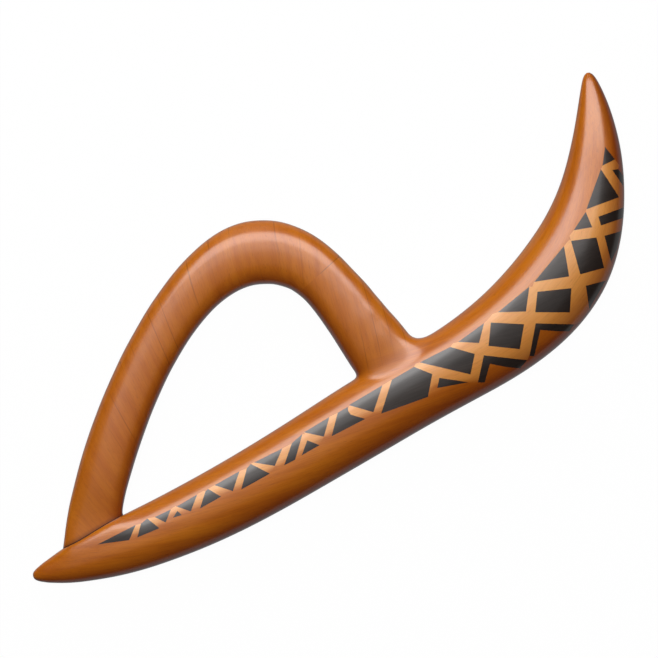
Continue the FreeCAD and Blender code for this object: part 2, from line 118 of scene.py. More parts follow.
PALE_STRIPS = [
    ("pale_strips_tail_steep", [[(71.13, -20.45), (68.33, -18.81), (59.25, -23.01), (63.93, -25.12)],
        [(92.91, -29.49), (92.93, -29.78), (93.18, -29.73), (94.27, -26.53), (90.54, -26.19), (82.87, -29.93), (88.13, -30.76)],
        [(113.6, -32.1), (112.55, -31.07), (108.49, -30.19), (98.72, -35.25), (104.02, -37.67)],
        [(141.47, -38.77), (141.77, -38.63), (137.02, -36.96), (125.97, -43.24), (130.38, -45.92)],
        [(172, -45.79), (165.62, -44.2), (155.1, -48.99), (159.42, -52.58)],
        [(180.19, -50.74), (180.24, -50.84), (182.07, -47.75), (180.68, -45.84), (166.81, -54.5), (171.43, -55.23)],
        [(205.11, -50.77), (205.23, -50.8), (205.28, -50.76), (199.64, -49.27), (189.16, -55.83), (192.68, -58.85)],
        [(242.95, -57.99), (243.06, -58.02), (243.12, -57.98), (236.44, -56.63), (221.4, -65.05), (224.22, -68.84)]]),
    ("pale_strips_tail_shallow", [[(82.87, -29.93), (80.11, -23.07), (76.06, -20.64), (77.78, -30.01)],
        [(94.27, -27.26), (93.71, -28.17), (93.18, -29.73), (92.93, -29.78), (93.18, -33.19), (98.72, -35.25)],
        [(120.08, -33.12), (115.62, -32.13), (118.43, -40.93), (125.97, -43.24)],
        [(155.1, -48.99), (147.05, -38.97), (145.07, -38.25), (149.77, -50.5)],
        [(189.16, -55.83), (181.89, -45.78), (181.67, -47.21), (182.07, -47.75), (180.24, -50.84), (183.73, -57.91)],
        [(214.05, -53.2), (213.13, -52.37), (211.46, -52.96), (210.55, -54.31), (210.24, -56.83), (214.94, -64.72), (221.4, -65.05)]]),
    ("pale_band_01", [[(280.45, -87.64), (262.51, -61.57), (260.17, -60.43), (258.18, -61.26), (263.36, -71.89), (265.05, -76.47), (276.35, -90.34)]]),
    ("pale_band_02", [[(314.57, -103.5), (312.88, -96.37), (300.14, -82.1), (297.08, -76.94), (288.13, -68), (285.17, -66.55), (282.51, -67.03), (290.67, -80.1), (294.2, -84.46), (311.81, -104.46)]]),
    ("pale_band_03", [[(350.43, -100.28), (334.83, -85.97), (330.96, -81.89), (318.07, -70.86), (315.02, -69.49), (312.54, -69.88), (310.73, -72.6), (324.9, -86.85), (330.51, -91.19), (347.81, -107.71), (351.83, -109.45)]]),
    ("pale_band_04", [[(390.28, -96.56), (384.12, -94.27), (370.53, -87.38), (364.6, -83.74), (346.71, -71.96), (343.88, -73.27), (344.14, -77.7), (360.89, -89.92), (368.47, -94.82), (379.86, -100.79), (381.89, -101.72)]]),
    ("pale_band_05", [[(415.86, -81.06), (414, -80.03), (399.88, -73.9), (395.17, -71.1), (385.54, -64.92), (381.43, -65.64), (380.01, -68.56), (392.93, -77.39), (397.28, -79.94), (407.15, -84.85), (409.41, -85.91)]]),
    ("pale_band_06", [[(425.29, -70.67), (419.92, -68.68), (399.92, -60.68), (398.5, -61.61), (402.32, -68.94), (418.52, -75.4), (420.29, -76.18)]]),
    ("pale_cross_01", [[(259.92, -80.22), (265.05, -76.47), (263.36, -71.89), (252.12, -80.39)]]),
    ("pale_cross_02", [[(310.73, -72.6), (312.54, -69.88), (307.45, -70.12), (297.08, -76.94), (300.14, -82.1)],
        [(294.2, -84.46), (290.67, -80.1), (280.45, -87.64), (276.35, -90.34), (277.21, -93.67), (280.52, -94.37)]]),
    ("pale_cross_03", [[(344.14, -77.7), (343.88, -73.27), (342.66, -72.07), (330.96, -81.89), (334.83, -85.97)],
        [(330.51, -91.19), (324.9, -86.85), (312.88, -96.37), (314.57, -103.5)]]),
    ("pale_cross_04", [[(380.01, -68.56), (379.87, -67.36), (374.76, -68), (364.6, -83.74), (370.53, -87.38)],
        [(354.37, -108.47), (360.81, -106.9), (368.47, -94.82), (360.89, -89.92), (350.43, -100.28), (351.83, -109.45)]]),
    ("pale_cross_05", [[(402.32, -68.94), (398.5, -61.61), (395.17, -71.1), (399.88, -73.9)],
        [(389.84, -94.6), (397.28, -79.94), (392.93, -77.39), (384.12, -94.27), (389.66, -96.33)]]),
    ("pale_cross_06", [[(426.58, -65.25), (427.86, -53.57), (431.12, -55.61), (433.26, -54.43), (433.52, -49.97), (425.16, -47.65), (422.95, -48.54), (419.92, -68.68), (424.36, -70.32)]]),
]
# lower border of the inlay, where the pale strips run out into the body colour
LOWER_BORDER = np.array([
    (42.91, -11.98), (59.25, -23.01), (63.93, -25.12), (77.78, -30.01), (88.13, -30.76), (93.18, -33.19),
    (104.02, -37.67), (118.43, -40.93), (130.38, -45.92), (149.77, -50.5), (159.42, -52.58), (166.81, -54.5),
    (171.43, -55.23), (183.73, -57.91), (192.68, -58.85), (214.94, -64.72), (224.22, -68.84), (252.12, -80.39),
    (259.92, -80.22), (279.58, -95.41), (283.22, -97.48),
])


# ------------------------------------------------------------------ smooth maths
class Spline:
    """Natural cubic through (t, v); v may have several columns."""

    def __init__(self, t, v):
        t, v = np.asarray(t, float), np.asarray(v, float)
        v = v[:, None] if v.ndim == 1 else v
        n, h = len(t), np.diff(t)
        a, r = np.zeros((n, n)), np.zeros((n, v.shape[1]))
        a[0, 0] = a[-1, -1] = 1.0
        for i in range(1, n - 1):
            a[i, i - 1], a[i, i], a[i, i + 1] = h[i - 1], 2 * (h[i - 1] + h[i]), h[i]
            r[i] = 6 * ((v[i + 1] - v[i]) / h[i] - (v[i] - v[i - 1]) / h[i - 1])
        self.m = np.linalg.solve(a, r)
        self.t, self.v, self.h = t, v, h

    def __call__(self, x, d=0):
        x = np.asarray(x, float)
        i = np.clip(np.searchsorted(self.t, x, side="right") - 1, 0, len(self.h) - 1)
        h = self.h[i][..., None]
        a, b = (self.t[i + 1] - x)[..., None], (x - self.t[i])[..., None]
        m0, m1, v0, v1 = self.m[i], self.m[i + 1], self.v[i], self.v[i + 1]
        if d == 0:
            return (m0 * a**3 + m1 * b**3) / (6 * h) + (v0 / h - m0 * h / 6) * a + (v1 / h - m1 * h / 6) * b
        return (-m0 * a**2 + m1 * b**2) / (2 * h) + (v1 - v0) / h - (m1 - m0) * h / 6


def soft_floor(z, r=0.7):
    """z kept at or above 0, with the crease rounded."""
    return np.where(z > r, z, np.where(z < -r, 0.0, (z + r) ** 2 / (4 * r)))


def smooth(a, b, x):
    t = np.clip((x - a) / (b - a), 0, 1)
    return t * t * (3 - 2 * t)


def unit(v):
    return v / np.maximum(np.linalg.norm(v, axis=-1, keepdims=True), 1e-12)


# ------------------------------------------------------------------ the blade
BLADE_LEN = BLADE[-1, 0] + 0.05
_keep = [i for i, s in enumerate(BLADE[:, 0]) if s in (0.3, 3, 8, 15, 26) or 34 <= s <= 488 or s in (495, 502.15)]
BLADE_XY = Spline(BLADE[_keep, 0], BLADE[_keep, 1:3])
BLADE_W2 = Spline(np.r_[0.0, BLADE[:, 0], BLADE_LEN], np.r_[0.0, BLADE[:, 3] ** 2, 0.0])


def blade_hw(s):
    return np.sqrt(np.maximum(BLADE_W2(s)[..., 0], 0.0))


def blade_frame(s):
    c = BLADE_XY(s)
    d = unit(BLADE_XY(s, 1))
    return c, np.stack([-d[..., 1], d[..., 0]], -1)


def blade_point(s, phi):
    s, phi = np.broadcast_arrays(np.asarray(s, float), np.asarray(phi, float))
    c, n = blade_frame(s)
    hw = blade_hw(s)
    run = np.minimum(s, BLADE_LEN - s)
    eq = BLADE_TIP_EQUATOR + (BLADE_EQUATOR - BLADE_TIP_EQUATOR) * (1 - np.exp(-run / 40.0))
    crown = hw * (BLADE_CROWN + 0.20 * np.exp(-hw / 8.0))
    belly = BELLY * eq * (1 - np.exp(-hw / BELLY_RUN))
    sn, cs = np.sin(phi), np.cos(phi)
    # fuller shoulder where the bow's foot lands on the blade
    full = 0.62 * smooth(11, 28, s) * (1 - smooth(56, 80, s)) * smooth(-0.1, 0.35, cs)
    z = soft_floor(eq + np.where(sn > 0, crown * np.maximum(sn, 1e-9) ** (1 - full), sn * belly))
    return np.concatenate([c + n * (hw * cs)[..., None], z[..., None]], -1)


def blade_normal(s, phi):
    s, phi = np.broadcast_arrays(np.asarray(s, float), np.asarray(phi, float))
    e = np.minimum(0.05, 0.2 * np.minimum(s, BLADE_LEN - s) + 1e-4)
    ds = blade_point(s + e, phi) - blade_point(s - e, phi)
    dp = blade_point(s, phi + 0.003) - blade_point(s, phi - 0.003)
    return unit(np.cross(dp, ds))


def blade_sp(p):
    """(s, signed offset) of plan points against the centre-line."""
    ss = np.arange(0.5, BLADE_LEN, 0.5)
    cc = BLADE_XY(ss)
    s = ss[np.argmin(((p[:, None, :] - cc[None]) ** 2).sum(-1), 1)]
    for _ in range(30):
        c, n = blade_frame(s)
        t = np.stack([n[:, 1], -n[:, 0]], -1)
        s = np.clip(s + 0.8 * ((p - c) * t).sum(-1), 0.3, BLADE_LEN - 0.3)
    c, n = blade_frame(s)
    return s, ((p - c) * n).sum(-1)


WRAP = 20.0                     # domain width of one radian round the blade


def plan_to_domain(p):
    s, u = blade_sp(p)
    q = u / blade_hw(s)
    phi = np.arccos(np.clip(q, -1, 1))
    phi = np.where(q < -1, math.pi + (-q - 1) * blade_hw(s) * 1.25 / 9.4, phi)
    return np.stack([s, phi * WRAP], -1)


# ------------------------------------------------------------------ the bow
_at = np.r_[0.0, np.cumsum(np.hypot(*np.diff(ARCH[:, :2], axis=0).T))]
ARCH_SP = Spline(_at, ARCH)
ARCH_LEN = _at[-1]


def arch_point(t, phi):
    t, phi = np.broadcast_arrays(np.asarray(t, float), np.asarray(phi, float))
    v = ARCH_SP(t)
    d = unit(ARCH_SP(t, 1)[..., :2])
    n = np.stack([-d[..., 1], d[..., 0]], -1)
    hw, crown = v[..., 2], v[..., 3]
    belly = BELLY * ARCH_EQUATOR * (1 - np.exp(-hw / BELLY_RUN))
    sn = np.sin(phi)
    z = soft_floor(ARCH_EQUATOR + np.where(sn > 0, crown * np.maximum(sn, 1e-9) ** ARCH_FULL, sn * belly))
    return np.concatenate([v[..., :2] + n * (hw * np.cos(phi))[..., None], z[..., None]], -1)


_tt = np.linspace(0, ARCH_LEN, 4001)
_ty = ARCH_SP(_tt)
T_SCARF = _tt[np.where((_ty[:, 0] > 200) & (_ty[:, 1] > SCARF_Y))[0][-1]]


def arch_sheared(t, phi):
    """The arch surface with its rows near the scarf leaned into the scarf plane."""
    t, phi = np.broadcast_arrays(np.asarray(t, float), np.asarray(phi, float))
    lean = np.zeros(phi.shape)
    for _ in range(12):
        lean = lean + (arch_point(T_SCARF + lean, phi)[..., 1] - SCARF_Y)
    w = 1 - smooth(0, 26, np.abs(t - T_SCARF))
    return arch_point(t + w * lean, phi)


# ------------------------------------------------------------------ mesh helpers
def grid_normals(P, closed=True):
    """Unit normals of a grid of rows (outward when rows run along and columns turn left to right)."""
    ds = np.gradient(P, axis=0)
    if closed:
        dp = np.roll(P, -1, 1) - np.roll(P, 1, 1)
    else:
        dp = np.gradient(P, axis=1)
    return unit(np.cross(dp, ds))


def to_metres(v):
    return (np.asarray(v, float) - np.array([PLAN_CENTRE[0], PLAN_CENTRE[1], 0.0])) * 0.001


def new_object(name, verts, faces, normals=None, attrs=None):
    me = bpy.data.meshes.new(name)
    me.from_pydata(to_metres(verts).tolist(), [], [tuple(int(i) for i in f) for f in faces])
    me.update()
    ob = bpy.data.objects.new(name, me)
    bpy.context.scene.collection.objects.link(ob)
    me.polygons.foreach_set("use_smooth", np.ones(len(me.polygons), bool))
    for key, values in (attrs or {}).items():
        values = np.asarray(values, np.float32)
        if values.ndim == 1:
            me.attributes.new(key, "FLOAT", "POINT").data.foreach_set("value", values)
        else:
            me.attributes.new(key, "FLOAT_VECTOR", "POINT").data.foreach_set("vector", values.ravel())
    if normals is not None:
        me.normals_split_custom_set_from_vertices([tuple(map(float, x)) for x in normals])
    return ob


# photo-up on the plan: the object is seen from above, turned so that its chord climbs to the right
TURN = math.radians(42.2)
RIGHT = np.array([math.cos(TURN), -math.sin(TURN)])
UP = np.array([math.sin(TURN), math.cos(TURN)])


def grain_straight(v, degrees, shift=0.0):
    """(along, across, height) in metres for grain that runs at that angle above the view's horizontal."""
    a = math.radians(degrees)
    g = math.cos(a) * RIGHT + math.sin(a) * UP
    c = np.array([-g[1], g[0]])
    p = v[:, :2]
    return np.stack([p @ g + shift, p @ c + shift, v[:, 2]], -1) * 0.001


BOW_PIVOT = np.array([43.1, -283.3])


def grain_fan(v):
    """Grain that fans out slowly from a far pivot, as in a bow sawn from curved stock."""
    d = v[:, :2] - BOW_PIVOT
    r = np.hypot(d[:, 0], d[:, 1])
    a = np.arctan2(d[:, 1], d[:, 0])
    return np.stack([r, -a * 330.0, v[:, 2]], -1) * 0.001


def grain_blade(v):
    """Grain of the blade: along its length, crossing it slightly in the tail and following the sweep of the head."""
    s, u = blade_sp(v[:, :2])
    drift = math.tan(math.radians(12.0))
    run = np.where(s < 270, s, 270 + 45 * (1 - np.exp(-(s - 270) / 45)))
    return np.stack([s, u + drift * run, v[:, 2]], -1) * 0.001


# ------------------------------------------------------------------ blade mesh: grid and inlay window
COLS = 96
nose = np.array([0.0, 0.04, 0.14, 0.3, 0.55, 0.85, 1.25, 1.75, 2.35, 3.05, 3.85, 4.75])
ROWS = np.r_[nose, np.arange(5.8, BLADE_LEN - 5.5, 1.25)]
ROWS = np.r_[ROWS[ROWS < BLADE_LEN - 5.3], (BLADE_LEN - nose)[::-1]]
PHI = np.linspace(-math.pi / 2, 1.5 * math.pi, COLS, endpoint=False)
R0, R1 = int(np.searchsorted(ROWS, 34.0)), int(np.searchsorted(ROWS, 472.0))
C0, C1 = int(np.searchsorted(PHI, math.radians(20))), int(np.searchsorted(PHI, math.radians(236)))


def subdivide(poly, step=0.8):
    """Closed plan outline to closed domain outline, split finely on the surface."""
    pts = []
    n = len(poly)
    for i in range(n):
        a, b = np.array(poly[i]), np.array(poly[(i + 1) % n])
        k = max(1, int(math.ceil(np.linalg.norm(b - a) / step)))
        pts += [a + (b - a) * j / k for j in range(k)]
    pts = np.array(pts)
    dom = plan_to_domain(pts)
    for _ in range(5):
        gap = np.linalg.norm(np.roll(dom, -1, 0) - dom, axis=1)
        if gap.max() < 1.5:
            break
        new = []
        for i in range(len(pts)):
            new.append(pts[i])
            if gap[i] >= 1.5:
                new.append(0.5 * (pts[i] + pts[(i + 1) % len(pts)]))
        pts = np.array(new)
        dom = plan_to_domain(pts)
    return dom


def seg_distance(p, a, b):
    """Distance from each point to its nearest of the segments a-b."""
    out = np.full(len(p), 1e9)
    for i in range(0, len(p), 4000):
        q = p[i:i + 4000, None, :]
        d = (b - a)[None]
        t = np.clip(((q - a[None]) * d).sum(-1) / np.maximum((d**2).sum(-1), 1e-12), 0, 1)
        out[i:i + 4000] = np.sqrt((((a[None] + t[..., None] * d) - q) ** 2).sum(-1)).min(1)
    return out


def inside(p, poly):
    x, y = p[:, 0][:, None], p[:, 1][:, None]
    a, b = poly, np.roll(poly, -1, 0)
    c = ((a[:, 1][None] > y) != (b[:, 1][None] > y))
    with np.errstate(divide="ignore", invalid="ignore"):
        xi = (b[:, 0] - a[:, 0])[None] * (y - a[:, 1][None]) / (b[:, 1] - a[:, 1])[None] + a[:, 0][None]
    return (np.where(c, x < xi, False).sum(1) % 2) == 1


dark_dom = [subdivide(t) for t in DARK_TILES]
pale_dom = [(name, [subdivide(t) for t in outlines]) for name, outlines in PALE_STRIPS]


def edges_of(poly):
    return poly, np.roll(poly, -1, 0)


seg_a = np.concatenate([edges_of(p)[0] for p in dark_dom])
seg_b = np.concatenate([edges_of(p)[1] for p in dark_dom])
for name, polys in pale_dom:
    for p in polys:
        a, b = edges_of(p)
        mid = 0.5 * (a + b)
        far = seg_distance(mid, seg_a, seg_b) > 0.09
        seg_a, seg_b = np.concatenate([seg_a, a[far]]), np.concatenate([seg_b, b[far]])

# grid points of the window; inner ones too near an outline are dropped
gi, gj = np.meshgrid(np.arange(R0, R1 + 1), np.arange(C0, C1 + 1), indexing="ij")
gi, gj = gi.ravel(), gj.ravel()
grid = np.stack([ROWS[gi], PHI[gj] * WRAP], -1)
edge = (gi == R0) | (gi == R1) | (gj == C0) | (gj == C1)
near = seg_distance(grid, seg_a, seg_b) < 0.42
keep = edge | ~near
gi, gj, grid, edge = gi[keep], gj[keep], grid[keep], edge[keep]
points, index = list(map(tuple, grid)), {}
cons = []
for a, b in zip(seg_a, seg_b):
    ids = []
    for p in (a, b):
        key = (round(p[0] * 40), round(p[1] * 40))
        if key not in index:
            index[key] = len(points)
            points.append(tuple(p))
        ids.append(index[key])
    if ids[0] != ids[1]:
        cons.append(tuple(ids))
lookup = {(i, j): k for k, (i, j) in enumerate(zip(gi, gj))}
ring = [(i, C0) for i in range(R0, R1)] + [(R1, j) for j in range(C0, C1)] \
    + [(i, C1) for i in range(R1, R0, -1)] + [(R0, j) for j in range(C1, C0, -1)]
cons += [(lookup[ring[k]], lookup[ring[(k + 1) % len(ring)]]) for k in range(len(ring))]
cdt = delaunay_2d_cdt([Vector(p) for p in points], cons, [], 0, 0.02, True)
dom = np.array([v[:] for v in cdt[0]], float)
tris = np.array([t for t in cdt[2] if len(t) == 3], int)
d1, d2 = dom[tris[:, 1]] - dom[tris[:, 0]], dom[tris[:, 2]] - dom[tris[:, 0]]
turn = d1[:, 0] * d2[:, 1] - d1[:, 1] * d2[:, 0]
tris = tris[np.abs(turn) > 1e-9]
turn = turn[np.abs(turn) > 1e-9]
tris[turn < 0] = tris[turn < 0][:, [0, 2, 1]]
mid = dom[tris].mean(1)
label = np.full(len(tris), -1)
for k, poly in enumerate(dark_dom):
    lo, hi = poly.min(0), poly.max(0)
    c = np.where((mid >= lo).all(1) & (mid <= hi).all(1) & (label < 0))[0]
    label[c[inside(mid[c], poly)]] = k
for k, (name, polys) in enumerate(pale_dom):
    for poly in polys:
        lo, hi = poly.min(0) - 0.2, poly.max(0) + 0.2
        c = np.where((mid >= lo).all(1) & (mid <= hi).all(1) & (label < 0))[0]
        a, b = edges_of(poly)
        label[c[inside(mid[c], poly) | (seg_distance(mid[c], a, b) < 0.05)]] = 100 + k

# one vertex table for the whole blade: window vertices, then the other grid vertices
win_s, win_phi = dom[:, 0], dom[:, 1] / WRAP
edge_id = {}
orig = {}
for k, src in enumerate(cdt[3]):
    for o in src:
        orig[o] = k
for k in range(len(grid)):
    if edge[k]:
        edge_id[(int(gi[k]), int(gj[k]))] = orig[k]
S, F = list(win_s), list(win_phi)
grid_id = {}
for i in range(1, len(ROWS) - 1):
    for j in range(COLS):
        if R0 <= i <= R1 and C0 <= j <= C1:
            if (i, j) in edge_id:
                grid_id[(i, j)] = edge_id[(i, j)]
            continue
        grid_id[(i, j)] = len(S)
        S.append(ROWS[i])
        F.append(PHI[j])
S, F = np.array(S), np.array(F)
top = blade_point(S, F)
nrm = blade_normal(S, F)
pole0, pole1 = len(top), len(top) + 1
ends = np.array([[*BLADE_XY(0.0), BLADE_TIP_EQUATOR], [*BLADE_XY(BLADE_LEN), BLADE_TIP_EQUATOR]])
top = np.vstack([top, ends])
tang = np.array([BLADE_XY(0.0, 1), BLADE_XY(BLADE_LEN, 1)])
tang = unit(tang) * np.array([[-1.0], [1.0]])
nrm = np.vstack([nrm, np.c_[tang, [0, 0]]])
S, F = np.r_[S, 0, BLADE_LEN], np.r_[F, 0, 0]
quads = []
for i in range(1, len(ROWS) - 2):
    for j in range(COLS):
        k = (j + 1) % COLS
        if R0 <= i < R1 and C0 <= j < C1:
            continue
        quads.append((grid_id[(i, j)], grid_id[(i, k)], grid_id[(i + 1, k)], grid_id[(i + 1, j)]))
for j in range(COLS):
    k = (j + 1) % COLS
    quads.append((pole0, grid_id[(1, k)], grid_id[(1, j)]))
    quads.append((pole1, grid_id[(len(ROWS) - 2, j)], grid_id[(len(ROWS) - 2, k)]))
tris = tris[:, ::-1]                                    # outward
skin_tree = BVHTree.FromPolygons([tuple(v) for v in top], [tuple(int(i) for i in t) for t in tris]
                                 + [tuple(int(i) for i in q) for q in quads])


def gap_to_blade(P):
    """Signed distance to the blade's skin, in mm, no more than 12."""
    out = np.empty(len(P))
    for i, p in enumerate(P):
        loc, n, _, d = skin_tree.find_nearest(Vector(p), 12.0)
        out[i] = 12.0 if loc is None else math.copysign(d, (Vector(p) - loc).dot(n))
    return out


# ------------------------------------------------------------------ closed meshes from surface patches
def split_fans(faces):
    """Faces with one vertex per fan, so that patches that meet at a single point come apart there.
    Gives the new faces and, for each new vertex, the old one."""
    first = np.cumsum([0] + [len(f) for f in faces])
    parent = list(range(int(first[-1])))

    def find(a):
        while parent[a] != a:
            parent[a] = parent[parent[a]]
            a = parent[a]
        return a

    seen = {}
    for k, f in enumerate(faces):
        n, o = len(f), int(first[k])
        for c in range(n):
            a, b = int(f[c]), int(f[(c + 1) % n])
            other = seen.pop((b, a), None)
            if other is None:
                seen[(a, b)] = (o + c, o + (c + 1) % n)
            else:
                parent[find(o + c)] = find(other[1])
                parent[find(o + (c + 1) % n)] = find(other[0])
    ids, src, out = {}, [], []
    for k, f in enumerate(faces):
        row = []
        for c in range(len(f)):
            r = find(int(first[k]) + c)
            if r not in ids:
                ids[r] = len(src)
                src.append(int(f[c]))
            row.append(ids[r])
        out.append(tuple(row))
    return out, np.array(src)


def open_edges(faces):
    have = set()
    for f in faces:
        for c in range(len(f)):
            have.add((f[c], f[(c + 1) % len(f)]))
    return [(a, b) for a, b in have if (b, a) not in have]


def patch_solid(name, faces, P, N, depth, attrs):
    """A closed piece: the faces as its outside, the same pushed in by depth as its back, and walls."""
    faces, src = split_fans(faces)
    n = len(src)
    verts = np.vstack([P[src], P[src] - N[src] * depth])
    normals = np.vstack([N[src], -N[src]])
    back = [tuple(n + i for i in reversed(f)) for f in faces]
    walls = [(b, a, a + n, b + n) for a, b in sorted(open_edges(faces))]
    return new_object(name, verts, faces + back + walls, normals,
                      {k: np.concatenate([v[src], v[src]]) for k, v in attrs.items()})


def closed_grid(P, cap0=True, cap1=True, offset=0):
    """Faces of rows of closed rings, capped at both ends with a centre point."""
    n, m = P.shape[:2]
    faces = []
    for i in range(n - 1):
        for j in range(m):
            k = (j + 1) % m
            faces.append((i * m + j, i * m + k, (i + 1) * m + k, (i + 1) * m + j))
    verts = P.reshape(-1, 3)
    extra = []
    if cap0:
        extra.append(P[0].mean(0))
        c = n * m + len(extra) - 1
        faces += [(c, (j + 1) % m, j) for j in range(m)]
    if cap1:
        extra.append(P[-1].mean(0))
        c = n * m + len(extra) - 1
        faces += [(c, (n - 1) * m + j, (n - 1) * m + (j + 1) % m) for j in range(m)]
    return np.vstack([verts, np.array(extra)]), faces


# ------------------------------------------------------------------ attributes of the blade's skin
GRAIN_DEG = 20.0
blade_grain = grain_blade(top)

a, b = LOWER_BORDER[:-1], LOWER_BORDER[1:]
below = seg_distance(top[:, :2], a, b)
wide = blade_hw(S)
run_out = np.clip((F - math.radians(182)) / math.radians(26), 0, 1)
fade = np.clip(1 - (below - 0.6) / 4.2, 0, 1)
fade = np.maximum(fade * fade * (3 - 2 * fade), run_out)


def shaded_side_of(phi, a=97.0, b=168.0):
    """How much painted shade darkens the colour, from the crown round to the shaded side turned away from the lamps.
    """
    d = np.degrees(phi) % 360
    return smooth(a, b, d) * (1 - 0.45 * smooth(195, 260, d)) * (d > a)


# painted shade on the blade's skin: darker round the side turned away from the lamps
painted_shade = shaded_side_of(F)

# ------------------------------------------------------------------ bow
COLS_BOW = 84
phi_bow = np.linspace(0, 2 * math.pi, COLS_BOW, endpoint=False)
t_bow = np.r_[np.arange(0, 60, 0.5), np.arange(60, T_SCARF - 3, 1.2), np.linspace(T_SCARF - 2.2, T_SCARF - 0.3, 5),
              T_SCARF - 0.12, T_SCARF]
T, A = np.meshgrid(t_bow, phi_bow, indexing="ij")
bow = arch_sheared(T, A)
# a small fillet where the bow's inner side meets the blade
m = (T < 60) & (np.cos(A) < 0.1)
q = bow[m]
side_dir = np.stack([-(ARCH_SP(T[m], 1)[:, 1]), ARCH_SP(T[m], 1)[:, 0], np.zeros(m.sum())], -1)
side_dir = unit(side_dir) * np.minimum(np.cos(A[m]), 0.0)[:, None]
q = q + side_dir * (1.7 * np.exp(-np.maximum(gap_to_blade(q), 0.0) / 1.1))[:, None]
bow[m] = q
bow_n = grid_normals(bow)
faint = smooth(0.25, -0.30, np.cos(A))
groove = np.where(T > T_SCARF - 0.01, 0.16 * (1 - 0.8 * faint), 0.0)
bow = bow - bow_n * groove[..., None]

# ------------------------------------------------------------------ shoulder
COLS_SH = 120
phi_sh = np.linspace(0, 2 * math.pi, COLS_SH, endpoint=False)
side = np.cos(phi_sh)                                   # 1 on the right, -1 on the left
high = np.sin(phi_sh)
start_y = np.where(side > 0, -30.0 - 13.0 * side**2, -30.0 - 8.2 * side**2)


def arch_t_at(y):
    """Distance along the bow's centre-line at which its right-hand leg reaches y."""
    m = _tt > T_SCARF
    order = np.argsort(_ty[m, 1])
    return np.interp(y, _ty[m, 1][order], _tt[m][order])


t_start = arch_t_at(start_y)
# the row that starts the flare follows the surface: its own y is start_y at each angle
for _ in range(6):
    y = arch_point(t_start, phi_sh)[:, 1]
    t_start = t_start + (y - start_y)
near_scarf = np.array([0.0, 0.12, 0.3, 0.7])[:, None] * np.ones(COLS_SH)
vv = np.linspace(0, 1, 56)[:, None]
t_sh = T_SCARF + np.vstack([near_scarf, 1.3 + (t_start - T_SCARF - 1.3)[None] * vv])
rows = len(t_sh)
leg = arch_sheared(t_sh, np.broadcast_to(phi_sh, t_sh.shape))
leg_t = t_sh

A0 = leg[-1]
e = 0.05
TA = unit(arch_point(t_start + e, phi_sh) - arch_point(t_start - e, phi_sh))
S_MID, S_HALF = 260.0, 30.0
ring_s = S_MID + S_HALF * np.sign(side) * np.abs(side) ** 0.86
ring_phi = np.where(high > 0, math.radians(55) * np.abs(high) ** 0.86, -math.radians(54) * np.abs(high) ** 0.86)
B0 = blade_point(ring_s, ring_phi)
NB = blade_normal(ring_s, ring_phi)
# outward along the blade's skin: away from the middle of the root
ds_b = unit(blade_point(ring_s + e, ring_phi) - blade_point(ring_s - e, ring_phi))
dp_b = unit(blade_point(ring_s, ring_phi + 0.002) - blade_point(ring_s, ring_phi - 0.002))
away = B0 - A0
TB = away - NB * (away * NB).sum(1, keepdims=True)
TB = unit(0.5 * unit(TB) + 0.5 * unit(ds_b * side[:, None] + dp_b * high[:, None]))
TB = unit(TB - NB * (TB * NB).sum(1, keepdims=True))
reach = np.linalg.norm(B0 - A0, axis=1)
pull = np.where(side > 0, 0.95 + 0.4 * side**2, 0.95 + 0.85 * side**2)
mag = (reach * pull)[:, None]
flare = []
fv = np.linspace(0, 1, 26)[1:]
for v in fv:
    h00, h10 = 2 * v**3 - 3 * v**2 + 1, v**3 - 2 * v**2 + v
    h01, h11 = -2 * v**3 + 3 * v**2, v**3 - v**2
    flare.append(h00 * A0 + h10 * mag * TA + h01 * B0 + h11 * mag * TB)
flare = np.array(flare)
flare[-1] += NB * 0.03
body_rows = np.vstack([leg, flare])
sh_n = grid_normals(body_rows)
sh_n[rows + len(fv) - 1] = NB
core = blade_point(S_MID, 0.0)
core[2] = 10.0
tuck1 = B0 - NB * 0.5 + (core - B0) * 0.02 + TB * 0.5
tuck2 = B0 - NB * 2.0 + (core - B0) * 0.05
tuck3 = B0 + (core - B0) * 0.45
tuck3[:, 1] -= 3.0
shoulder = np.concatenate([body_rows, [tuck1, tuck2, tuck3]])
sh_n = np.concatenate([sh_n, [NB, NB, NB]])
faint_sh = smooth(0.25, -0.30, side)
shoulder[0] -= sh_n[0] * (0.16 * (1 - 0.8 * faint_sh))[:, None]
merge = np.zeros(shoulder.shape[:2])
merge[rows:rows + len(fv)] = fv[:, None]
merge[rows + len(fv):] = 1.0
scarf_sh = np.full(shoulder.shape[:2], 20.0)
scarf_sh[:rows] = t_sh - T_SCARF + 0.5 * faint_sh

# ------------------------------------------------------------------ the pieces
def place(piece, *nodes, slot):
    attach(piece, "root")
    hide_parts(*nodes)
    return piece


body_faces, body_src = split_fans([tuple(t) for t in tris[label < 0]] + [tuple(q) for q in quads])
floor_tris = tris[label >= 0]
floor_ids = np.unique(floor_tris)
floor_at = {int(v): len(body_src) + i for i, v in enumerate(floor_ids)}
floor_faces = [tuple(floor_at[int(v)] for v in t) for t in floor_tris]
wall_faces = [(b, a, floor_at[int(body_src[a])], floor_at[int(body_src[b])])
              for a, b in sorted(open_edges(body_faces))]
body_verts = np.vstack([top[body_src], top[floor_ids] - nrm[floor_ids] * INLAY_DEPTH])
body_normals = np.vstack([nrm[body_src], nrm[floor_ids]])
blade_ob = new_object("main_blade_visual", body_verts, body_faces + floor_faces + wall_faces, body_normals,
                      {"grain": np.vstack([blade_grain[body_src], blade_grain[floor_ids]]),
                       "painted_shade": np.r_[painted_shade[body_src], painted_shade[floor_ids]]})
place(blade_ob, "main_blade", slot="blade_wood")

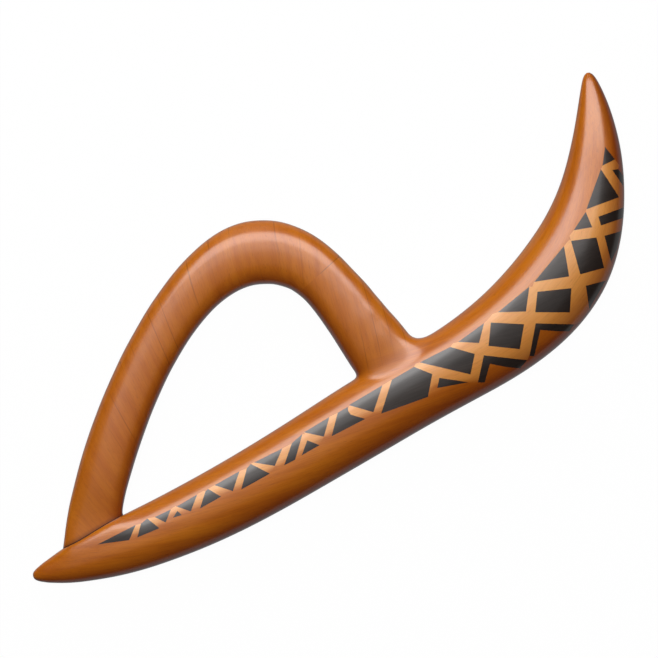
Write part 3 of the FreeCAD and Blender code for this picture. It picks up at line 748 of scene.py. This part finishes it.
dark_obs, pale_obs = [], []
rng = np.random.default_rng(7)
for k in range(len(DARK_TILES)):
    f = [tuple(t) for t in tris[label == k]]
    name = "dark_inlay_%02d" % (k + 1)
    shift = float(rng.uniform(-400, 400))
    g = grain_straight(top, GRAIN_DEG + float(rng.uniform(-9, 9)), shift)
    ob = patch_solid(name + "_visual", f, top, nrm, INLAY_DEPTH - 0.05, {"grain": g, "painted_shade": painted_shade})
    dark_obs.append(place(ob, name, slot="dark_inlay"))
for k, (name, outlines) in enumerate(PALE_STRIPS):
    f = [tuple(t) for t in tris[label == 100 + k]]
    ob = patch_solid(name + "_visual", f, top, nrm, INLAY_DEPTH - 0.05,
                     {"grain": blade_grain, "fade": fade, "painted_shade": painted_shade})
    pale_obs.append(place(ob, name, slot="pale_inlay"))

# under the blade the bow's flat rises a little, so that it never shares the blade's flat
low = (T < 40) & (bow[..., 2] < 1.0) & (np.sin(A) < 0)
_s, _u = blade_sp(bow[low][:, :2])
bow[low, 2] += 0.4 * smooth(0.97, 0.80, np.abs(_u) / blade_hw(_s))
verts, faces = closed_grid(bow)
flat = bow.reshape(-1, 3)
gap = np.full(len(flat), 12.0)
foot = (T.ravel() < 60)
gap[foot] = gap_to_blade(flat[foot])
top_side = smooth(2.0, 5.5, flat[:, 2])                 # the painted crease shade and the dark seam line fade out on the underside
gap = gap * top_side + 12.0 * (1 - top_side)
verts[len(flat), 2] = 1.6                               # the hidden end closes low, flush with the underside
# the bow's painted shade is deepest on its inner side, turned away from the lamps
bow_ob = new_object("arch_bow_visual", verts, faces,
                    np.vstack([bow_n.reshape(-1, 3), [[0, 0, -1]], [[0, -1, 0]]]),
                    {"grain": grain_fan(verts), "gap": np.r_[gap, 12, 12],
                     "painted_shade": np.r_[shaded_side_of(A.ravel(), 108, 174), 0, 0],
                     "scarf": np.r_[np.minimum(T_SCARF - T.ravel(), 20.0) + 0.5 * faint.ravel(), 20.0, 0.0]})
place(bow_ob, "arch_bow", slot="bow_wood")

# painted shade on the shoulder, fading out where it merges into the blade
sh_painted_shade = np.broadcast_to(shaded_side_of(phi_sh, 108, 174), shoulder.shape[:2]) * (1 - smooth(0.2, 0.9, merge))
verts, faces = closed_grid(shoulder)
sh_ob = new_object("shoulder_block_visual", verts, faces,
                   np.vstack([sh_n.reshape(-1, 3), [[0, 1, 0]], [[0, -1, 0]]]),
                   {"grain": grain_straight(verts, -75.0, 150.0), "grain_blade": grain_blade(verts),
                    "merge": np.r_[merge.ravel(), 0.0, 1.0], "painted_shade": np.r_[sh_painted_shade.ravel(), 0, 0], "scarf": np.r_[scarf_sh.ravel(), 0.0, 20.0]})
place(sh_ob, "shoulder_block", slot="blade_wood")


# ------------------------------------------------------------------ materials
class Paint:
    """A small helper for node trees."""

    def __init__(self, name):
        self.mat = bpy.data.materials.new(name)
        self.mat.use_nodes = True
        self.nt = self.mat.node_tree
        self.nt.nodes.clear()

    def new(self, kind, **props):
        n = self.nt.nodes.new(kind)
        for k, v in props.items():
            setattr(n, k, v)
        return n

    def put(self, socket, value):
        if isinstance(value, bpy.types.NodeSocket):
            self.nt.links.new(value, socket)
        elif isinstance(value, (tuple, list)) and len(value) == 3 and socket.type == "RGBA":
            socket.default_value = (*value, 1.0)
        else:
            socket.default_value = value

    def attr(self, name, vector=False):
        n = self.new("ShaderNodeAttribute", attribute_type="GEOMETRY", attribute_name=name)
        return n.outputs["Vector" if vector else "Fac"]

    def math(self, op, a, b=0.0, c=0.0, clamp=False):
        n = self.new("ShaderNodeMath", operation=op, use_clamp=clamp)
        for s, v in zip(n.inputs, (a, b, c)):
            self.put(s, v)
        return n.outputs[0]

    def vmath(self, op, a, b=(0.0, 0.0, 0.0)):
        n = self.new("ShaderNodeVectorMath", operation=op)
        self.put(n.inputs[0], a)
        self.put(n.inputs[1], b)
        return n.outputs[0]

    def noise(self, vec, scale=1.0, detail=2.0, rough=0.5, dist=0.0):
        n = self.new("ShaderNodeTexNoise", noise_dimensions="3D")
        self.put(n.inputs["Vector"], vec)
        for k, v in (("Scale", scale), ("Detail", detail), ("Roughness", rough), ("Distortion", dist)):
            n.inputs[k].default_value = v
        return n.outputs["Fac"]

    def ramp(self, v, a, b, c=0.0, d=1.0):
        n = self.new("ShaderNodeMapRange", interpolation_type="SMOOTHSTEP")
        for s, x in zip((n.inputs["Value"], n.inputs["From Min"], n.inputs["From Max"], n.inputs["To Min"],
                         n.inputs["To Max"]), (v, a, b, c, d)):
            self.put(s, x)
        return n.outputs[0]

    def mix(self, fac, a, b, blend="MIX"):
        n = self.new("ShaderNodeMix", data_type="RGBA", blend_type=blend, clamp_factor=True)
        self.put(n.inputs["Factor"], fac)
        self.put(n.inputs[6], a)
        self.put(n.inputs[7], b)
        return n.outputs[2]

    def grain(self, attribute):
        """Fields of one timber: streaks, large mottling, thin late-wood lines, fibres and pores."""
        g = self.attr(attribute, vector=True)
        bend = self.noise(self.vmath("MULTIPLY", g, (7.0, 11.0, 9.0)), detail=1.5)
        bend = self.math("MULTIPLY_ADD", bend, 0.007, -0.0035)
        both = self.new("ShaderNodeCombineXYZ")
        self.put(both.inputs[1], bend)
        g = self.vmath("ADD", g, both.outputs[0])
        f = {}
        f["streak"] = self.noise(self.vmath("MULTIPLY", g, (11.0, 190.0, 150.0)), detail=4.0, rough=0.62)
        f["band"] = self.noise(self.vmath("MULTIPLY", g, (5.0, 42.0, 34.0)), detail=2.0, rough=0.5)
        f["mottle"] = self.noise(self.vmath("MULTIPLY", g, (17.0, 26.0, 22.0)), detail=3.0, rough=0.55)
        axes = self.new("ShaderNodeSeparateXYZ")
        self.put(axes.inputs[0], g)
        ring = self.noise(self.vmath("MULTIPLY", g, (3.0, 19.0, 9.0)), detail=1.0, rough=0.4)
        ring = self.math("MULTIPLY_ADD", ring, 2.2, self.math("MULTIPLY", axes.outputs[1], 96.0))
        ring = self.math("FRACT", ring)
        ring = self.math("ABSOLUTE", self.math("SUBTRACT", ring, 0.5))
        where = self.noise(self.vmath("MULTIPLY", g, (9.0, 60.0, 40.0)), detail=1.0)
        f["line"] = self.math("MULTIPLY", self.ramp(ring, 0.0, 0.045, 1.0, 0.0), self.ramp(where, 0.46, 0.62))
        f["fibre"] = self.noise(self.vmath("MULTIPLY", g, (70.0, 1700.0, 1500.0)), detail=2.0, rough=0.6)
        pore = self.noise(self.vmath("MULTIPLY", g, (210.0, 2400.0, 2200.0)), detail=1.0)
        f["pore"] = self.ramp(pore, 0.66, 0.76)
        return f

    def timber(self, f, mid, dark, light, lines=0.5, depth=1.0):
        c = self.mix(self.ramp(f["streak"], 0.30, 0.56, 0.62 * depth, 0.0), mid, dark)
        c = self.mix(self.ramp(f["streak"], 0.50, 0.76, 0.0, 0.60 * depth), c, light)
        c = self.mix(self.ramp(f["band"], 0.35, 0.62, 0.42 * depth, 0.0), c, dark)
        c = self.mix(self.ramp(f["mottle"], 0.42, 0.72, 0.0, 0.34 * depth), c, light)
        c = self.mix(self.math("MULTIPLY", f["line"], lines), c, tuple(x * 0.34 for x in dark))
        c = self.mix(self.ramp(f["fibre"], 0.30, 0.55, 0.24 * depth, 0.0), c, tuple(x * 0.6 for x in dark))
        return self.mix(self.math("MULTIPLY", f["pore"], 0.30), c, tuple(x * 0.4 for x in dark))

    # painted shade: the colour is multiplied towards a deep red-brown where the shade attribute is high
    def add_painted_shade(self, c):
        return self.mix(self.attr("painted_shade"), c, (0.36, 0.155, 0.04), "MULTIPLY")

    def height(self, f, k=1.0):
        h = self.math("MULTIPLY", f["fibre"], 0.5 * k)
        h = self.math("MULTIPLY_ADD", f["streak"], 0.6 * k, h)
        return self.math("MULTIPLY_ADD", f["pore"], -0.7 * k, h)

    def finish(self, colour, height, rough, coat=1.0, coat_rough=0.2, bump=0.05, distance=0.0002, coat_ior=1.6):
        b = self.new("ShaderNodeBsdfPrincipled")
        self.put(b.inputs["Base Color"], colour)
        self.put(b.inputs["Roughness"], rough)
        b.inputs["Coat Weight"].default_value = coat
        b.inputs["Coat Roughness"].default_value = coat_rough
        b.inputs["Coat IOR"].default_value = coat_ior
        b.inputs["Specular IOR Level"].default_value = 0.35
        n = self.new("ShaderNodeBump")
        n.inputs["Strength"].default_value = bump
        n.inputs["Distance"].default_value = distance
        self.put(n.inputs["Height"], height)
        self.put(b.inputs["Normal"], n.outputs[0])
        out = self.new("ShaderNodeOutputMaterial")
        self.nt.links.new(b.outputs[0], out.inputs[0])
        return self.mat


BODY = dict(mid=(0.60, 0.158, 0.0020), dark=(0.40, 0.078, 0.001), light=(0.71, 0.225, 0.006))
BOW = dict(mid=(0.62, 0.168, 0.0060), dark=(0.41, 0.082, 0.003), light=(0.72, 0.230, 0.012))
ROUGH = 0.34
COAT = dict(coat=1.0, coat_rough=0.20, coat_ior=1.6)


def rough_of(p, f, base=ROUGH):
    return p.math("MULTIPLY_ADD", f["streak"], 0.10, base - 0.05)


p = Paint("blade_lacquered_wood")
f = p.grain("grain")
blade_mat = p.finish(p.add_painted_shade(p.timber(f, **BODY, lines=0.10, depth=0.8)), p.height(f), rough_of(p, f), **COAT)

p = Paint("bow_lacquered_wood")
f = p.grain("grain")
c = p.timber(f, **BOW, lines=0.45, depth=0.62)
c = p.add_painted_shade(c)
# painted shade: the bow darkens within 3.2 mm of the blade, as shade in the crease where the foot meets it; within
# 0.75 mm a near-black line, a dark joint line deepened with painted crease shade
near = p.ramp(p.attr("gap"), 0.0, 3.2, 0.62, 0.0)
c = p.mix(near, c, (0.11, 0.018, 0.003))
c = p.mix(p.ramp(p.attr("gap"), 0.15, 0.75, 0.97, 0.0), c, (0.018, 0.005, 0.003))
c = p.mix(p.ramp(p.attr("scarf"), 0.05, 0.40, 0.50, 0.0), c, (0.10, 0.025, 0.006))
bow_mat = p.finish(c, p.height(f), rough_of(p, f), **COAT)

p = Paint("shoulder_lacquered_wood")
f, g = p.grain("grain"), p.grain("grain_blade")
m = p.ramp(p.attr("merge"), 0.08, 0.92)
c = p.mix(m, p.timber(f, **BOW, lines=0.45, depth=0.62), p.timber(g, **BODY, lines=0.10, depth=0.8))
c = p.mix(p.ramp(p.attr("scarf"), 0.05, 0.40, 0.50, 0.0), c, (0.10, 0.025, 0.006))
c = p.add_painted_shade(c)
h = p.math("ADD", p.math("MULTIPLY", p.height(f), p.math("SUBTRACT", 1.0, m)), p.math("MULTIPLY", p.height(g), m))
shoulder_mat = p.finish(c, h, rough_of(p, f), **COAT)

p = Paint("dark_inlay_veneer")
f = p.grain("grain")
c = p.mix(p.ramp(f["streak"], 0.35, 0.68), (0.030, 0.0210, 0.0175), (0.042, 0.0305, 0.0255))
c = p.mix(p.ramp(f["fibre"], 0.35, 0.6, 0.35, 0.0), c, (0.014, 0.009, 0.007))
c = p.add_painted_shade(c)
dark_mat = p.finish(c, p.height(f), rough_of(p, f), **COAT)

p = Paint("pale_inlay_veneer")
f = p.grain("grain")
pale = p.timber(f, mid=(0.86, 0.345, 0.062), dark=(0.72, 0.245, 0.034), light=(0.93, 0.44, 0.105), lines=0.10, depth=0.8)
c = p.add_painted_shade(p.mix(p.attr("fade"), pale, p.timber(f, **BODY, lines=0.10, depth=0.8)))
pale_mat = p.finish(c, p.height(f), rough_of(p, f), **COAT)

p = Paint("dowel_bare_wood")
tc = p.new("ShaderNodeTexCoord").outputs["Object"]
n1 = p.noise(p.vmath("MULTIPLY", tc, (120.0, 1500.0, 1500.0)), detail=3.0)
c = p.mix(p.ramp(n1, 0.3, 0.7), (0.42, 0.24, 0.10), (0.66, 0.45, 0.22))
dowel_mat = p.finish(c, n1, p.ramp(n1, 0.0, 1.0, 0.55, 0.7), coat=0.0)


def paint(ob, mat):
    ob.data.materials.clear()
    ob.data.materials.append(mat)


paint(blade_ob, blade_mat)
paint(bow_ob, bow_mat)
paint(sh_ob, shoulder_mat)
for ob in dark_obs:
    paint(ob, dark_mat)
for ob in pale_obs:
    paint(ob, pale_mat)
for node in ("scarf_dowels", "foot_dowels", "shoulder_dowels"):
    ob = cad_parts[node]
    for s in ob.material_slots:
        s.material = dowel_mat
    if not ob.material_slots:
        ob.data.materials.append(dowel_mat)

# ------------------------------------------------------------------ floor, backdrop, light, camera
scene = bpy.context.scene
scene.view_settings.view_transform = "Standard"
scene.view_settings.look = "None"


def emitter(name, strength, diffuse=None):
    m = bpy.data.materials.new(name)
    m.use_nodes = True
    nt = m.node_tree
    nt.nodes.clear()
    out = nt.nodes.new("ShaderNodeOutputMaterial")
    em = nt.nodes.new("ShaderNodeEmission")
    em.inputs[0].default_value = (1, 1, 1, 1)
    em.inputs[1].default_value = strength
    if diffuse is None:
        nt.links.new(em.outputs[0], out.inputs[0])
    else:
        d = nt.nodes.new("ShaderNodeBsdfDiffuse")
        d.inputs[0].default_value = (diffuse, diffuse, diffuse, 1)
        add = nt.nodes.new("ShaderNodeAddShader")
        nt.links.new(em.outputs[0], add.inputs[0])
        nt.links.new(d.outputs[0], add.inputs[1])
        nt.links.new(add.outputs[0], out.inputs[0])
    return m


def plane(name, size, mat, z=0.0):
    h = size / 2
    me = bpy.data.meshes.new(name)
    me.from_pydata([(-h, -h, z), (h, -h, z), (h, h, z), (-h, h, z)], [], [(0, 1, 2, 3)])
    ob = bpy.data.objects.new(name, me)
    scene.collection.objects.link(ob)
    me.materials.append(mat)
    return ob


ground = plane("ground", 16.0, emitter("ground_white", 0.975, 0.03), -0.0002)
ground.visible_diffuse = False
ground.visible_glossy = False
sheen = plane("ground_sheen", 16.0, emitter("ground_sheen", 0.33), -0.0004)
sheen.visible_camera = False
sheen.visible_diffuse = False
sheen.visible_shadow = False

dome_me = bpy.data.meshes.new("backdrop")
rings, segs, R = 12, 32, 20.0
dv, df = [], []
for i in range(rings + 1):
    a = math.radians(-30 + 120 * i / rings)
    for j in range(segs):
        o = 2 * math.pi * j / segs
        dv.append((R * math.cos(a) * math.cos(o), R * math.cos(a) * math.sin(o), R * math.sin(a)))
for i in range(rings):
    for j in range(segs):
        k = (j + 1) % segs
        df.append((i * segs + j, (i + 1) * segs + j, (i + 1) * segs + k, i * segs + k))
dome_me.from_pydata(dv, [], df)
dome = bpy.data.objects.new("backdrop", dome_me)
scene.collection.objects.link(dome)
dome_me.materials.append(emitter("backdrop_white", 1.0))
for flag in ("visible_diffuse", "visible_glossy", "visible_transmission", "visible_volume_scatter", "visible_shadow"):
    setattr(dome, flag, False)

world = bpy.data.worlds.new("studio")
world.use_nodes = True
world.node_tree.nodes["Background"].inputs[0].default_value = (1, 1, 1, 1)
world.node_tree.nodes["Background"].inputs[1].default_value = 0.03
scene.world = world

UP3 = Vector((UP[0], UP[1], 0))
RIGHT3 = Vector((RIGHT[0], RIGHT[1], 0))


def softbox(name, tilt, swing, dist, sx, sy, radiance, glossy=True, diffuse=True, shift=0.0):
    """An area lamp tilted from the vertical towards the top of the view, and swung to its right."""
    a, b = math.radians(tilt), math.radians(swing)
    d = (UP3 * math.sin(a) * math.cos(b) + RIGHT3 * math.sin(a) * math.sin(b) + Vector((0, 0, math.cos(a)))).normalized()
    lamp = bpy.data.lights.new(name, "AREA")
    lamp.shape = "RECTANGLE"
    lamp.size, lamp.size_y = sx, sy
    lamp.energy = radiance * math.pi * sx * sy
    ob = bpy.data.objects.new(name, lamp)
    scene.collection.objects.link(ob)
    ob.location = d * dist
    ob.visible_glossy = glossy
    ob.visible_diffuse = diffuse
    z = d
    x = RIGHT3 - RIGHT3.dot(z) * z
    x.normalize()
    y = z.cross(x)
    ob.location = d * dist + x * shift
    ob.matrix_world = Matrix.Translation(ob.location) @ Matrix((x, y, z)).transposed().to_4x4()
    return ob


softbox("key", 12, -8, 2.0, 2.0, 1.02, 3.95, glossy=False)
softbox("key_gloss", 34, 0, 2.0, 2.6, 0.84, 4.0, diffuse=False, shift=-0.12)
softbox("skirt_gloss", 14, 0, 2.0, 2.2, 0.56, 0.95, diffuse=False, shift=-0.2)
softbox("side", 72, -10, 2.4, 1.6, 1.2, 5.2, glossy=False)
softbox("tail_gloss", -8, 0, 2.0, 2.2, 1.0, 0.20, diffuse=False)
softbox("fill", 0, 0, 2.4, 3.0, 3.0, 0.15, glossy=False)

cam_data = bpy.data.cameras.new("camera")
cam_data.sensor_width = 36.0
cam_data.lens = 36.0 * 3.0 / 0.4014
cam = bpy.data.objects.new("camera", cam_data)
scene.collection.objects.link(cam)
cam.location = (0.0060, 0.0056, 3.007)
cam.rotation_euler = (0, 0, -TURN)
scene.camera = cam

print("open edges left in the blade:", len(open_edges(body_faces + floor_faces + wall_faces)))
